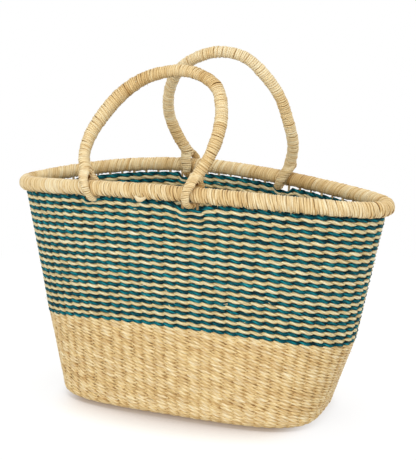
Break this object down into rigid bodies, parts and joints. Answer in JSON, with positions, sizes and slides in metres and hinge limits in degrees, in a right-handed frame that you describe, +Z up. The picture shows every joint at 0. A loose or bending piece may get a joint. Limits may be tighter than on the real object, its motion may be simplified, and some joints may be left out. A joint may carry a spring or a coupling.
{
  "type": "bolga basket",
  "caption": "Oval twined straw shopper with teal and natural stripes, a wrapped rim and wrapped handles that swing on the rim.",
  "frame": {"origin": "middle of the flat underside on which the basket stands", "axes": "+Z up, +X along the long axis towards the basket's right end, -Y towards its front"},
  "size_m": [0.4466, 0.1941, 0.4016],
  "materials": {
    "teal_straw": "dyed dry grass straw, satin",
    "natural_straw": "undyed dry grass straw, satin",
    "wrap_straw": "undyed dry grass straw, close wound, satin",
    "stake_straw": "undyed dry grass straw, matt"
  },
  "bodies": {
    "basket": {"teal_row_01": "teal_straw", "teal_row_02": "teal_straw", "teal_row_03": "teal_straw", "teal_row_04": "teal_straw", "teal_row_05": "teal_straw", "teal_row_06": "teal_straw", "teal_row_07": "teal_straw", "teal_row_08": "teal_straw", "teal_row_09": "teal_straw", "teal_row_10": "teal_straw", "teal_row_11": "teal_straw", "teal_row_12": "teal_straw", "teal_row_13": "teal_straw", "teal_row_14": "teal_straw", "teal_row_15": "teal_straw", "teal_row_16": "teal_straw", "teal_row_17": "teal_straw", "teal_row_18": "teal_straw", "natural_row_01": "natural_straw", "natural_row_02": "natural_straw", "natural_row_03": "natural_straw", "natural_row_04": "natural_straw", "natural_row_05": "natural_straw", "natural_row_06": "natural_straw", "natural_row_07": "natural_straw", "natural_row_08": "natural_straw", "natural_row_09": "natural_straw", "natural_row_10": "natural_straw", "natural_row_11": "natural_straw", "natural_row_12": "natural_straw", "natural_row_13": "natural_straw", "natural_row_14": "natural_straw", "natural_row_15": "natural_straw", "natural_row_16": "natural_straw", "natural_row_17": "natural_straw", "inner_courses": "natural_straw", "lower_band": "natural_straw", "base_mat": "natural_straw", "stakes_and_rim_core": "stake_straw", "rim_wrap_front": "wrap_straw", "rim_wrap_right": "wrap_straw", "rim_wrap_rear": "wrap_straw", "rim_wrap_left": "wrap_straw"},
    "front_handle": {"front_handle_core": "stake_straw", "front_handle_wrap": "wrap_straw", "front_handle_left_loop": "wrap_straw", "front_handle_right_loop": "wrap_straw"},
    "rear_handle": {"rear_handle_core": "stake_straw", "rear_handle_wrap": "wrap_straw", "rear_handle_left_loop": "wrap_straw", "rear_handle_right_loop": "wrap_straw"}
  },
  "joints": [
    {"name": "front_handle_swing", "type": "hinge", "parent": "basket", "child": "front_handle", "pos_m": [-0.0337, -0.07784, 0.25352], "axis": [0.997, -0.073, 0.024], "range_deg": [-2, 172]},
    {"name": "rear_handle_swing", "type": "hinge", "parent": "basket", "child": "rear_handle", "pos_m": [0.017, 0.07874, 0.25289], "axis": [-0.9976, 0.0366, 0.058], "range_deg": [-2, 160]}
  ]
}
